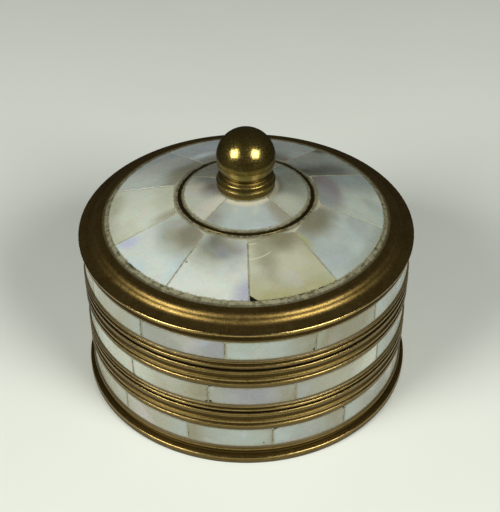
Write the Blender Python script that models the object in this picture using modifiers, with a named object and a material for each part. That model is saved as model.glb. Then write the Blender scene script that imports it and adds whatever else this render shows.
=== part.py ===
"""Round brass box inlaid with shell tiles: a base tray, a middle tray and a domed lid with a knob.

Metres, +Z up. The origin is under the middle of the base and the front is -Y. Azimuths are in
degrees from the front, positive towards +X. Profiles are (radius, height) points in millimetres.
"""
import math

import bmesh
import bpy
from mathutils import Matrix, Vector

MM = 0.001

# Driving dimensions, in millimetres.
BRASS = 33.0  # crest radius of the beads and ridges
FOOT = 33.8
RIM = 33.3
RECESS = 30.6  # bottom of the grooves that hold the side tiles
BORE = 29.0  # inside of the trays
SPIGOT = 30.2  # rim of a tray that locates the piece above it
SOCKET = 30.5  # seat that drops over a spigot
SPIGOT_RISE = 1.2
FLOOR = 1.2
GAP = 0.15  # clearance all round a piece that is set in filler

BASE_BAND = (3.7, 8.4)  # lower and upper edge of each groove for side tiles
MIDDLE_BAND = (15.1, 19.5)
LID_BAND = (26.6, 30.9)
BASE_TOP = 13.1  # the seats that carry the next piece up, and where that piece starts
MIDDLE_BOTTOM = 13.4
MIDDLE_TOP = 24.0
LID_BOTTOM = 24.3

TILE = 1.2  # thickness of a side tile
TILE_FACE = 32.6
BACKING = 0.5  # filler behind a tile
JOINT = 0.7  # width of the joint between two side tiles, filler and clearances together

CROWN_TOP = 43.58  # the lid's tiled surface falls from here: slope x radius + bend x radius squared
CROWN_SLOPE = 0.2377
CROWN_BEND = 0.00155
FIELD = 27.25  # outer edge of the outer tiles
FIELD_CHORD = 13.8  # distance of their straight inner edges from the axis
TOP_TILE = 1.0
TOP_JOINT = 0.7
BED_DEPTH = 1.8  # brass bed below the tiled surface
SHELL = 1.2  # thickness of the brass under the bed
RIM_BORE = 28.25
DIVIDER = (12.7, 13.4)  # inner and outer radius of the divider ring
DIVIDER_DEPTH = 1.3
INNER_FIELD = 12.0

KNOB_FOOT = 42.45
KNOB_COLLAR = 5.75
BALL = 5.7
BALL_CENTRE = 49.0
STEM = 1.25
STEM_END = 37.0
STEM_HOLE = 1.6
NUT_FLATS = 6.0
NUT_HEIGHT = 1.8
NUT_TOP = 39.3
NUT_HOLE = 1.5

SEGMENTS = 40
KNOB_SEGMENTS = 24
TILE_STEP = 7.5  # degrees between the sections of a curved tile

# Hand-cut joints that were placed one by one. The rest of each band is spaced evenly.
BASE_JOINTS = (-47, -20.5, 8.5, 35.5)
MIDDLE_JOINTS = (-42, -13, 16, 50.5)
LID_BAND_JOINTS = (-64.5, -36.5, -7, 22.5, 47)
OUTER_JOINTS = (-143, -105, -67, -32.5, 1, 37.5, 77.5, 117.5, 146, 181)
INNER_JOINTS = (-41, 46.5, 144, 241)
BAND_TILES = 12

# Rest positions of the three bodies' axes.
SEATS = {"base": 0.0, "middle": MIDDLE_BOTTOM, "lid": LID_BOTTOM}


def new_collection(name):
    group = bpy.data.collections.new(name)
    bpy.context.scene.collection.children.link(group)
    return group


def principled(name, color, roughness, metallic=0.0, coat=0.0):
    material = bpy.data.materials.new(name)
    material.use_nodes = True
    material.diffuse_color = (*color, 1.0)
    shader = material.node_tree.nodes["Principled BSDF"]
    shader.inputs["Base Color"].default_value = (*color, 1.0)
    shader.inputs["Roughness"].default_value = roughness
    shader.inputs["Metallic"].default_value = metallic
    shader.inputs["Coat Weight"].default_value = coat
    return material


def crown(radius):
    """Height of the lid's tiled surface."""
    return CROWN_TOP - CROWN_SLOPE * radius - CROWN_BEND * radius**2


def place(piece, material, body=None, azimuth=None):
    """Link a piece, give it its material and hang it on its body's empty."""
    if material:
        piece.data.materials.clear()
        piece.data.materials.append(material)
    if azimuth is not None:
        piece.rotation_euler.z = math.radians(azimuth - 90)
    if body:
        parts.objects.link(piece)
        piece.parent = bodies[body]
        piece.location.z = -SEATS[body] * MM
    else:
        cutters.objects.link(piece)
        piece.hide_render = True
        piece.display_type = "WIRE"
    return piece


def to_object(bm, name):
    """An object of a bmesh, shaded smooth with its corners sharp."""
    bmesh.ops.recalc_face_normals(bm, faces=bm.faces)
    mesh = bpy.data.meshes.new(name)
    bm.to_mesh(mesh)
    bm.free()
    mesh.shade_smooth()
    mesh.set_sharp_from_angle(angle=math.radians(30))
    return bpy.data.objects.new(name, mesh)


def turned(name, profile, segments=SEGMENTS, ring=False):
    """Turn a profile that runs down its outer side. A ring's profile is a closed loop."""
    mesh = bpy.data.meshes.new(name)
    points = [(radius * MM, 0, height * MM) for radius, height in profile]
    edges = [(i, i + 1) for i in range(len(points) - 1)]
    if ring:
        edges.append((len(points) - 1, 0))
    mesh.from_pydata(points, edges, [])
    piece = bpy.data.objects.new(name, mesh)
    screw = piece.modifiers.new("Turn", "SCREW")
    screw.steps = segments
    screw.render_steps = segments
    screw.use_merge_vertices = True
    screw.merge_threshold = 0.00001
    return piece


def cut(piece, cutter):
    boolean = piece.modifiers.new("Cut " + cutter.name, "BOOLEAN")
    boolean.operation = "DIFFERENCE"
    boolean.solver = "EXACT"
    boolean.object = cutter


def trim(bm, point, normal):
    """Cut away what lies beyond a plane, given in millimetres, and close the cut."""
    geometry = bm.verts[:] + bm.edges[:] + bm.faces[:]
    result = bmesh.ops.bisect_plane(
        bm, geom=geometry, plane_co=Vector(point) * MM, plane_no=Vector(normal), clear_outer=True
    )
    edges = [item for item in result["geom_cut"] if isinstance(item, bmesh.types.BMEdge)]
    bmesh.ops.contextual_create(bm, geom=edges)


def sector(name, section, span, joint, chord=None):
    """A piece of a ring about +X: its section swept through the span, less half a joint each side.

    The joint keeps its width all along. A chord cuts the inner edge straight.
    """
    bm = bmesh.new()
    half = math.radians(span / 2)
    start = Matrix.Rotation(-half, 3, "Z")
    loop = [bm.verts.new(start @ Vector((radius * MM, 0, height * MM))) for radius, height in section]
    face = bm.faces.new(loop)
    bmesh.ops.spin(
        bm,
        geom=[face] + face.edges[:] + loop,
        axis=(0, 0, 1),
        cent=(0, 0, 0),
        angle=2 * half,
        steps=max(2, round(span / TILE_STEP)),
    )
    for side in (-1, 1):
        normal = Vector((-math.sin(half), side * math.cos(half), 0))
        trim(bm, -normal * joint / 2, normal)
    if chord:
        trim(bm, (chord, 0, 0), (-1, 0, 0))
    return to_object(bm, name)


def spans(joints):
    """Middle azimuth and angle between each pair of neighbouring joints, all the way round."""
    ends = list(joints[1:]) + [joints[0] + 360]
    return [((start + end) / 2, end - start) for start, end in zip(joints, ends)]


def evenly_closed(joints):
    """The given joints, then even ones up to a full band."""
    left = BAND_TILES - len(joints)
    step = (joints[0] + 360 - joints[-1]) / (left + 1)
    return list(joints) + [joints[-1] + step * (i + 1) for i in range(left)]


def set_tiles(prefix, body, filler, joints, shape, shells):
    """Make a row of tiles, and cut a pocket for each in the filler.

    shape(name, span, gap) makes one tile, or with a gap its pocket.
    """
    for number, (azimuth, span) in enumerate(spans(joints), 1):
        name = f"{prefix}_{number:02d}"
        place(shape(name, span, 0), shells[number % len(shells)], body, azimuth)
        pocket = place(shape(name + "_pocket", span, GAP), None, azimuth=azimuth)
        cut(filler, pocket)


def upper_moulding(z, height):
    """From the next piece's seat down to the top of a tile groove: ridge, step, bead and lip."""
    return [
        (BRASS - 0.2, z + height),
        (BRASS, z + height - 0.15),
        (BRASS, z + height * 0.78),
        (BRASS - 0.25, z + height * 0.75),
        (BRASS - 0.25, z + height * 0.61),
        (BRASS - 0.05, z + height * 0.58),
        (BRASS - 0.05, z + height * 0.44),
        (BRASS - 0.5, z + height * 0.40),
        (BRASS - 0.5, z + height * 0.35),
        (BRASS, z + height * 0.30),
        (BRASS - 0.05, z + height * 0.18),
        (BRASS - 0.35, z),
    ]


def lower_moulding(z, height):
    """From the bottom of a tile groove down to the seam below it: lip, groove and bead."""
    return [
        (BRASS - 0.35, z),
        (BRASS - 0.05, z - height * 0.26),
        (BRASS - 0.05, z - height * 0.38),
        (BRASS - 0.3, z - height * 0.44),
        (BRASS - 0.3, z - height * 0.50),
        (BRASS - 0.05, z - height * 0.58),
        (BRASS - 0.05, z - height * 0.84),
        (BRASS - 0.7, z - height),
    ]


def groove(band):
    low, high = band
    return [(RECESS, high), (RECESS, low)]


def make_base_tray():
    profile = [(0, FLOOR), (BORE - 0.6, FLOOR), (BORE, FLOOR + 0.6), (BORE, BASE_TOP + SPIGOT_RISE)]
    profile += [(SPIGOT, BASE_TOP + SPIGOT_RISE), (SPIGOT, BASE_TOP)]
    profile += upper_moulding(BASE_BAND[1], BASE_TOP - BASE_BAND[1]) + groove(BASE_BAND)
    profile += [
        (BRASS - 0.35, BASE_BAND[0]),
        (BRASS, BASE_BAND[0] - 0.4),
        (BRASS, BASE_BAND[0] - 0.8),
        (BRASS - 0.5, BASE_BAND[0] - 1.2),
        (BRASS - 0.5, 1.95),
        (FOOT - 0.2, 1.7),
        (FOOT, 1.5),
        (FOOT, 0.3),
        (FOOT - 0.3, 0),
        (0, 0),
    ]
    place(turned("base_tray", profile), brass, "base")


def make_middle_tray():
    seat = MIDDLE_BOTTOM + SPIGOT_RISE
    floor = seat + FLOOR
    profile = [(0, floor), (BORE - 0.6, floor), (BORE, floor + 0.6), (BORE, MIDDLE_TOP + SPIGOT_RISE)]
    profile += [(SPIGOT, MIDDLE_TOP + SPIGOT_RISE), (SPIGOT, MIDDLE_TOP)]
    profile += upper_moulding(MIDDLE_BAND[1], MIDDLE_TOP - MIDDLE_BAND[1]) + groove(MIDDLE_BAND)
    profile += lower_moulding(MIDDLE_BAND[0], MIDDLE_BAND[0] - MIDDLE_BOTTOM)
    profile += [(SOCKET, MIDDLE_BOTTOM), (SOCKET, seat), (0, seat)]
    place(turned("middle_tray", profile), brass, "middle")


def make_lid_shell():
    """The tiled bed, the ogee rim, the skirt with its tile groove, then the inside of the dome."""
    seat = LID_BOTTOM + SPIGOT_RISE
    lip = LID_BAND[1]
    profile = [(STEM_HOLE, crown(STEM_HOLE) - BED_DEPTH), (RIM_BORE, crown(RIM_BORE) - BED_DEPTH)]
    profile += [
        (RIM_BORE, crown(RIM_BORE) - 0.05),
        (RIM - 3.9, 35.3),
        (RIM - 3.0, 34.6),
        (RIM - 2.2, 33.95),
        (RIM - 0.5, 33.5),
        (RIM, 33.3),
        (RIM - 0.1, 33.0),
        (BRASS - 0.6, 32.5),
        (BRASS - 0.1, 32.1),
        (BRASS, lip + 0.4),
        (BRASS - 0.35, lip),
    ]
    profile += groove(LID_BAND) + lower_moulding(LID_BAND[0], LID_BAND[0] - LID_BOTTOM)
    under = BED_DEPTH + SHELL
    profile += [(SOCKET, LID_BOTTOM), (SOCKET, seat), (BORE, seat + 0.3), (BORE, LID_BAND[1])]
    profile += [(BORE - 1.5, crown(BORE - 1.5) - under), (NUT_FLATS, crown(NUT_FLATS) - under)]
    profile += [(NUT_FLATS - 1.0, NUT_TOP + GAP), (STEM_HOLE, NUT_TOP + GAP)]
    place(turned("lid_shell", profile, ring=True), brass, "lid")


def make_band(body, prefix, band, joints, filler_name, shells):
    """Filler ring and its tiles, in the groove of one of the three bodies."""
    low, high = band[0] + GAP, band[1] - GAP
    inner, outer = RECESS + GAP, TILE_FACE - 0.1
    ring = [(inner, high), (outer, high), (outer, low), (inner, low)]
    filler = place(turned(filler_name, ring, ring=True), cement, body)

    def tile(name, span, gap):
        inside = TILE_FACE - TILE - gap
        outside = TILE_FACE + 4 * gap
        grow = 2 * gap
        section = [
            (inside, high + grow),
            (outside, high + grow),
            (outside, low - grow),
            (inside, low - grow),
        ]
        return sector(name, section, span, JOINT - 2 * gap)

    set_tiles(prefix, body, filler, joints, tile, shells)


def top_section(inner, outer, gap):
    """Section of a tile on the crown, or with a gap the section of its pocket."""
    radii = (inner - gap, outer + gap)
    top = [(radius, crown(radius) + 4 * gap) for radius in radii]
    bottom = [(radius, crown(radius) - TOP_TILE - gap) for radius in reversed(radii)]
    return top + bottom


def make_lid_top(shells):
    """Filler bed of the crown, the two rings of wedge tiles and the divider ring between them."""
    low, high = BED_DEPTH - GAP, 0.08
    centre = KNOB_COLLAR - 0.4
    slot_in, slot_out = DIVIDER[0] - GAP, DIVIDER[1] + GAP
    slot_depth = DIVIDER_DEPTH + GAP
    edge = RIM_BORE - GAP
    profile = [
        (STEM_HOLE + 0.2, KNOB_FOOT - GAP),
        (centre - 0.6, KNOB_FOOT - GAP),
        (centre, crown(centre) - high),
        (slot_in, crown(slot_in) - high),
        (slot_in, crown(slot_in) - slot_depth),
        (slot_out, crown(slot_out) - slot_depth),
        (slot_out, crown(slot_out) - high),
        (edge, crown(edge) - high),
        (edge, crown(edge) - low),
        (STEM_HOLE + 0.2, crown(STEM_HOLE + 0.2) - low),
    ]
    filler = place(turned("lid_top_filler", profile, ring=True), cement, "lid")

    def outer_tile(name, span, gap):
        section = top_section(FIELD_CHORD, FIELD, gap)
        return sector(name, section, span, TOP_JOINT - 2 * gap, FIELD_CHORD - gap)

    def inner_tile(name, span, gap):
        return sector(name, top_section(centre, INNER_FIELD, gap), span, TOP_JOINT - 2 * gap)

    set_tiles("lid_outer_tile", "lid", filler, OUTER_JOINTS, outer_tile, shells)
    set_tiles("lid_inner_tile", "lid", filler, INNER_JOINTS, inner_tile, shells)
    inner, outer = DIVIDER
    ring = [
        (inner, crown(inner)),
        (outer, crown(outer)),
        (outer, crown(outer) - DIVIDER_DEPTH),
        (inner, crown(inner) - DIVIDER_DEPTH),
    ]
    place(turned("lid_divider_ring", ring, ring=True), brass, "lid")


def make_knob():
    """Ball on a waisted collar, with the stem that goes through the lid."""
    neck = math.radians(-37)  # angle on the ball where the collar meets it
    steps = 9
    profile = []
    for i in range(steps + 1):
        angle = math.pi / 2 + (neck - math.pi / 2) * i / steps
        profile.append((BALL * math.cos(angle), BALL_CENTRE + BALL * math.sin(angle)))
    profile[0] = (0, BALL_CENTRE + BALL)
    profile += [
        (KNOB_COLLAR - 0.8, 45.4),
        (KNOB_COLLAR - 0.2, 44.4),
        (KNOB_COLLAR, 44.0),
        (KNOB_COLLAR, KNOB_FOOT + 0.2),
        (KNOB_COLLAR - 0.2, KNOB_FOOT),
        (STEM, KNOB_FOOT),
        (STEM, STEM_END),
        (0, STEM_END),
    ]
    place(turned("knob", profile, KNOB_SEGMENTS), bright_brass, "lid")


def make_nut():
    """Hexagon nut on the stem, under the crown."""
    bm = bmesh.new()
    radius = NUT_FLATS / math.sqrt(3) * MM
    bmesh.ops.create_cone(
        bm, cap_ends=True, segments=6, radius1=radius, radius2=radius, depth=NUT_HEIGHT * MM
    )
    bmesh.ops.translate(bm, verts=bm.verts, vec=(0, 0, (NUT_TOP - NUT_HEIGHT / 2) * MM))
    nut = place(to_object(bm, "knob_nut"), bright_brass, "lid")
    drill = [(0, NUT_TOP + 1), (NUT_HOLE, NUT_TOP + 1), (NUT_HOLE, NUT_TOP - NUT_HEIGHT - 1)]
    drill.append((0, NUT_TOP - NUT_HEIGHT - 1))
    cut(nut, place(turned("nut_hole", drill, KNOB_SEGMENTS), None))


for old in list(bpy.data.objects):
    bpy.data.objects.remove(old, do_unlink=True)

parts = new_collection("pill_box")
cutters = new_collection("cutters")

brass = principled("aged brass", (0.30, 0.21, 0.07), 0.35, metallic=1.0)
bright_brass = principled("polished brass", (0.42, 0.31, 0.09), 0.15, metallic=1.0)
cement = principled("ivory filler", (0.62, 0.57, 0.42), 0.7)
white_shell = principled("white shell", (0.72, 0.74, 0.70), 0.25, coat=0.5)
cream_shell = principled("cream shell", (0.74, 0.70, 0.54), 0.25, coat=0.5)
grey_shell = principled("grey shell", (0.52, 0.55, 0.54), 0.25, coat=0.5)
tints = [white_shell, cream_shell, grey_shell]

bodies = {}
for body_name, height in SEATS.items():
    empty = bpy.data.objects.new(body_name + "_axis", None)
    empty.location.z = height * MM
    empty.empty_display_size = 0.01
    parts.objects.link(empty)
    bodies[body_name] = empty

make_base_tray()
make_band("base", "base_tile", BASE_BAND, evenly_closed(BASE_JOINTS), "base_filler", tints)
make_middle_tray()
make_band("middle", "middle_tile", MIDDLE_BAND, evenly_closed(MIDDLE_JOINTS), "middle_filler", tints)
make_lid_shell()
make_band("lid", "lid_band_tile", LID_BAND, evenly_closed(LID_BAND_JOINTS), "lid_band_filler", tints)
make_lid_top(tints)
make_knob()
make_nut()
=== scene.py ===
"""Finished look of the brass and mother-of-pearl pill box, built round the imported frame.

Lengths in outlines are millimetres, everything in Blender is metres. Azimuths are in degrees from
the front (-Y), positive towards +X. Heights and radii that the CAD settles are read from the frame.
"""

import math

import bmesh
import bpy
from mathutils import Matrix, Vector


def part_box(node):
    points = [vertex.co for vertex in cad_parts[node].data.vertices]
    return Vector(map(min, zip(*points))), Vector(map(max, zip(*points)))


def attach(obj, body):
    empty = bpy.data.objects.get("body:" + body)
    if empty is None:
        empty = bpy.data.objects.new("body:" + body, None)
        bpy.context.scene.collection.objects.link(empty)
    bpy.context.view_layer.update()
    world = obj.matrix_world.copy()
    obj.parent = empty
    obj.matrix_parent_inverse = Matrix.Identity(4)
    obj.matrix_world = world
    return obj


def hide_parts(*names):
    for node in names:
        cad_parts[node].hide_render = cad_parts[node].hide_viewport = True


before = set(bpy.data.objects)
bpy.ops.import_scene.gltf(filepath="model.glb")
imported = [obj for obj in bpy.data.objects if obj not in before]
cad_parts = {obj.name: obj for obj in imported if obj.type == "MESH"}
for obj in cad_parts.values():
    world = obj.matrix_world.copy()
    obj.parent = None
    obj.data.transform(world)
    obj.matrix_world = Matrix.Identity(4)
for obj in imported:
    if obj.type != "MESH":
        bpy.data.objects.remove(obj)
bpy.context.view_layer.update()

MM = 0.001
AROUND = 160  # sections round a turned piece
KNOB_AROUND = 96
NUT_AROUND = 48
TILE_STEP = 1.5  # degrees between the sections of a tile
SEAM = 0.15  # the CAD keeps this much clear round each tile and filler
CUT = 0.012  # what is left between a tile and the filler it is bedded in
CAD_JOINT = 0.70  # width that the CAD leaves between two tiles
JOINT = 0.22  # width of the filler line between them here
TILE_EDGE = 0.07  # the bevel along a tile's edges


def low(node):
    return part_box(node)[0] / MM


def high(node):
    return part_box(node)[1] / MM


# Levels and radii, from the frame.
FOOT = high("base_tray").x
RIM = high("lid_shell").x
BRASS = high("middle_tray").x
BANDS = {
    "base_tile": (low("base_tile_01").z - SEAM, high("base_tile_01").z + SEAM),
    "middle_tile": (low("middle_tile_01").z - SEAM, high("middle_tile_01").z + SEAM),
    "lid_band_tile": (low("lid_band_tile_01").z - SEAM, high("lid_band_tile_01").z + SEAM),
}
MIDDLE_BOTTOM = low("middle_tray").z
LID_BOTTOM = low("lid_shell").z
SPIGOT_RISE = 1.2  # how far a spigot stands into the body above it
BASE_TOP = high("base_tray").z - SPIGOT_RISE
MIDDLE_TOP = high("middle_tray").z - SPIGOT_RISE
KNOB_TOP = high("knob").z
KNOB_FOOT = high("lid_top_filler").z + SEAM
NUT_TOP = high("knob_nut").z

# Details that the solids hold but a box doesn't give. They are radii unless a comment says more.
RECESS = 30.6  # back of the grooves that hold the side tiles
BORE = 29.0
SPIGOT = 30.2
SOCKET = 30.5
FLOOR = 1.2  # thickness
TILE_FACE = 32.6
TILE = 1.2  # thickness of the side tiles
RIM_FOOT = 33.0  # height of the rim's lower edge
CROWN_TOP, CROWN_SLOPE, CROWN_BEND = 43.58, 0.2377, 0.00155  # of the lid's surface. See crown
BED_DEPTH = 1.8  # of the bed for the inlay, below the crown
SHELL = 1.2  # thickness of the lid's brass under the bed
RIM_BORE = 28.25
BALL = 5.7
COLLAR = 5.75
FIELD = 27.25  # outer ends of the outer tiles
FIELD_CHORD = 14.0  # their straight inner ends
INNER_FIELD = 12.25  # outer ends of the inner tiles
INNER_EDGE = COLLAR - 0.4  # inner ends of the inner tiles
DIVIDER = (12.7, 13.4)  # the thin ring, inside and outside
DIVIDER_DEPTH = 1.3
TOP_TILE = 1.0  # thickness of the lid's tiles
COLLAR_TOP = KNOB_TOP - BALL - 3.4  # height
STEM = 1.25
STEM_HOLE = 1.6
NUT_HOLE = 1.5


def crown(radius):
    """Height of the lid's surface."""
    return CROWN_TOP - CROWN_SLOPE * radius - CROWN_BEND * radius**2


# ---------------------------------------------------------------- materials


def srgb(red, green, blue):
    """A colour picked on a screen, from 0 to 255, as Blender's linear values."""
    def linear(value):
        value /= 255
        return value / 12.92 if value <= 0.04045 else ((value + 0.055) / 1.055) ** 2.4
    return (linear(red), linear(green), linear(blue), 1.0)


# Dirt, painted shade, tarnish, old cement and veins, from the darkest to the palest.
# Painted shade with dirt, for hollows.
HOLLOW_SHADE_AND_DIRT = srgb(38, 32, 20)
TARNISH = srgb(54, 41, 11)
# Grime with painted shade, for the cracks between parts.
CRACK_GRIME_AND_SHADE = srgb(58, 54, 34)
PINHOLE = srgb(64, 56, 40)
# Cement and dirt, and at the rim's bore dirt with painted shade.
SMEAR_AND_SHADE = srgb(66, 56, 30)
JOINT_DIRT = srgb(76, 69, 46)
OLD_CEMENT = srgb(82, 77, 50)
END_DIRT = srgb(110, 102, 64)
SPECK = srgb(110, 104, 78)
SIDE_DIRT = srgb(112, 107, 84)
DUST = srgb(112, 108, 82)
CEMENT = srgb(120, 116, 88)
LID_DIRT = srgb(134, 128, 96)
VEIN = srgb(206, 203, 178)

# Sheens of the shell: tint, and the noise values between which it fades in.
SHEENS = (
    (srgb(176, 174, 198), 0.52, 0.72),
    (srgb(168, 192, 188), 0.47, 0.30),
    (srgb(206, 194, 188), 0.58, 0.75),
)


class Graph:
    """Short hand for one material's node tree. Sockets and plain numbers mix freely."""

    def __init__(self, name):
        self.material = bpy.data.materials.new(name)
        self.material.use_nodes = True
        self.nodes = self.material.node_tree.nodes
        self.links = self.material.node_tree.links
        self.shader = self.nodes["Principled BSDF"]

    def put(self, socket, value):
        if isinstance(value, bpy.types.NodeSocket):
            self.links.new(value, socket)
        else:
            socket.default_value = value

    def shade(self, **values):
        for name, value in values.items():
            self.put(self.shader.inputs[name.replace("_", " ")], value)
        return self.material

    def position(self):
        """Place on the piece in millimetres, in the frame of the whole box."""
        coordinates = self.nodes.new("ShaderNodeTexCoord")
        return self.vector("MULTIPLY", coordinates.outputs["Object"], (1000, 1000, 1000))

    def vector(self, operation, a, b):
        node = self.nodes.new("ShaderNodeVectorMath")
        node.operation = operation
        self.put(node.inputs[0], a)
        self.put(node.inputs[1], b)
        return node.outputs["Value" if operation == "LENGTH" else "Vector"]

    def math(self, operation, a, b=0.0, clamp=False):
        node = self.nodes.new("ShaderNodeMath")
        node.operation = operation
        node.use_clamp = clamp
        self.put(node.inputs[0], a)
        self.put(node.inputs[1], b)
        return node.outputs[0]

    def add(self, a, b):
        return self.math("ADD", a, b)

    def minus(self, a, b, clamp=False):
        return self.math("SUBTRACT", a, b, clamp)

    def times(self, a, b):
        return self.math("MULTIPLY", a, b)

    def swing(self, noise, amount):
        """A noise moved so that it swings round zero."""
        return self.times(self.minus(noise, 0.5), amount)

    def length(self, x, y):
        return self.vector("LENGTH", self.join(x, y, 0.0), (0, 0, 0))

    def split(self, vector):
        node = self.nodes.new("ShaderNodeSeparateXYZ")
        self.put(node.inputs[0], vector)
        return node.outputs

    def join(self, x, y, z):
        node = self.nodes.new("ShaderNodeCombineXYZ")
        for socket, value in zip(node.inputs, (x, y, z)):
            self.put(socket, value)
        return node.outputs[0]

    def noise(self, vector, scale, detail=3.0, roughness=0.55, distortion=0.0):
        node = self.nodes.new("ShaderNodeTexNoise")
        self.put(node.inputs["Vector"], vector)
        self.put(node.inputs["Scale"], scale)
        self.put(node.inputs["Detail"], detail)
        self.put(node.inputs["Roughness"], roughness)
        self.put(node.inputs["Distortion"], distortion)
        return node.outputs["Fac"]

    def between(self, value, start, end, out_start=0.0, out_end=1.0):
        """Smooth step from out_start to out_end while the value goes from start to end."""
        node = self.nodes.new("ShaderNodeMapRange")
        node.interpolation_type = "SMOOTHSTEP"
        self.put(node.inputs["Value"], value)
        self.put(node.inputs["From Min"], start)
        self.put(node.inputs["From Max"], end)
        self.put(node.inputs["To Min"], out_start)
        self.put(node.inputs["To Max"], out_end)
        return node.outputs["Result"]

    def mix(self, factor, a, b, blend="MIX"):
        node = self.nodes.new("ShaderNodeMix")
        node.data_type = "RGBA"
        node.blend_type = blend
        node.clamp_factor = True
        self.put(node.inputs["Factor"], factor)
        self.put(node.inputs[6], a)
        self.put(node.inputs[7], b)
        return node.outputs[2]

    def bump(self, height, distance, normal=None):
        """The normal bent by a height that goes from 0 to 1, of a real distance in metres."""
        node = self.nodes.new("ShaderNodeBump")
        self.put(node.inputs["Height"], height)
        self.put(node.inputs["Distance"], distance)
        self.put(node.inputs["Strength"], 1.0)
        if normal is not None:
            self.put(node.inputs["Normal"], normal)
        return node.outputs["Normal"]

    def attribute(self, name):
        node = self.nodes.new("ShaderNodeAttribute")
        node.attribute_name = name
        return node.outputs["Fac"]

    def shade_and_dirt_where_low(self, depth, color, start, end):
        """Painted shade with settled dirt in hollows, from the depth below the surface in millimetres."""
        return self.mix(self.between(depth, start, end), color, HOLLOW_SHADE_AND_DIRT)


def axis_distance(graph, place):
    x, y, _ = graph.split(place)
    return graph.length(x, y)


def depth_in_crown(graph, place):
    """How far a place lies below the lid's crown."""
    radius = axis_distance(graph, place)
    slope = graph.add(graph.times(radius, CROWN_BEND), CROWN_SLOPE)
    surface = graph.minus(CROWN_TOP, graph.times(slope, radius))
    return graph.minus(surface, graph.split(place)[2])


def depth_in_band(graph, place):
    """How far a place lies inside the face of the side tiles."""
    return graph.minus(TILE_FACE, axis_distance(graph, place))


def smeared(graph, looks, spot, grain, smear):
    """Colour, roughness and metal with a ring of cement and dirt laid over them, which at the rim's bore is
    dirt with painted shade.
    """
    color, rough, metal = looks
    radius, height = spot
    smear_radius, smear_height, reach = smear
    away = graph.length(graph.minus(radius, smear_radius), graph.minus(height, smear_height))
    away = graph.add(away, graph.swing(grain, 1.2 * reach))
    dirt = graph.between(away, reach, 0.5 * reach, 0.0, 0.85)
    color = graph.mix(dirt, color, SMEAR_AND_SHADE)
    rough = graph.add(rough, graph.times(dirt, 0.35))
    metal = graph.minus(metal, graph.times(dirt, 0.7), clamp=True)
    return color, rough, metal


def make_brass(
    name, dull, bright, roughness, lines, specks, film, clean_from=0.0, cover=0.78, smears=(), scratches=0.0
):
    """Turned brass. Grooves hold tarnish, crests are rubbed bright, fine lines run round the axis.

    lines and specks are the strength of the turning lines and of the pits. film is how much of the
    light a thin tarnish scatters. Below the height clean_from tarnish covers all but the crests, by
    the share cover, and less where hands touch the sides. A smear of cement and dirt, with painted
    shade at the rim's bore, is (radius, height, reach). scratches is how much rougher the brass is
    where fine scratches lie together.
    """
    graph = Graph(name)
    place = graph.position()
    radius = axis_distance(graph, place)
    height = graph.split(place)[2]
    relief = graph.attribute("relief")
    crest = graph.between(relief, 0.22, 0.85)
    groove = graph.between(relief, -0.85, -0.2, 0.6, 0.0)
    patina = graph.noise(place, 0.22, 4, 0.6, 0.8)
    cloud = graph.noise(place, 1.3, 3, 0.6)
    grain = graph.noise(place, 4.5, 3, 0.75)
    rings = graph.noise(graph.join(graph.times(radius, 7.0), graph.times(height, 7.0), 0.0), 1.0, 3, 0.7)
    pits = graph.between(grain, 0.36, 0.44, 1.0, 0.0)
    grime = graph.between(height, clean_from + 0.15, clean_from - 0.15)
    covered = graph.between(radius, BRASS - 0.16, BRASS - 0.04, cover, 0.45 * cover)
    covered = graph.times(graph.times(grime, covered), graph.minus(1.0, crest))

    rub = graph.add(graph.times(patina, 0.55), graph.times(cloud, 0.35))
    rub = graph.add(rub, graph.swing(grain, 1.2 * specks))
    rub = graph.add(rub, graph.times(crest, 0.45))
    rub = graph.minus(rub, 0.22, clamp=True)
    color = graph.mix(rub, dull, bright)
    color = graph.mix(graph.times(pits, 0.8 * specks), color, TARNISH)
    color = graph.mix(groove, color, TARNISH)
    color = graph.mix(covered, color, TARNISH)

    rough = graph.add(roughness, graph.swing(cloud, 0.25))
    rough = graph.add(rough, graph.times(pits, 0.2 * specks))
    rough = graph.minus(rough, graph.times(crest, 0.55 * roughness))
    rough = graph.add(rough, graph.times(groove, 0.25))
    rough = graph.add(rough, graph.times(grime, 0.5 * (0.42 - roughness)))
    if scratches:
        scored = graph.noise(graph.vector("MULTIPLY", place, (1.0, 1.0, 2.0)), 6.0, 4, 0.8)
        rough = graph.add(rough, graph.between(scored, 0.48, 0.62, 0.0, scratches))
    metal = graph.between(cloud, 0.35, 0.65, 1.0 - 1.4 * film, 1.0 - 0.6 * film)
    for smear in smears:
        color, rough, metal = smeared(graph, (color, rough, metal), (radius, height), grain, smear)
    rough = graph.math("MINIMUM", rough, 0.95)
    normal = graph.bump(rings, 0.010 * MM * lines)
    normal = graph.bump(grain, 0.020 * MM * specks, normal)
    return graph.shade(Base_Color=color, Metallic=metal, Roughness=rough, Normal=normal)


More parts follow.
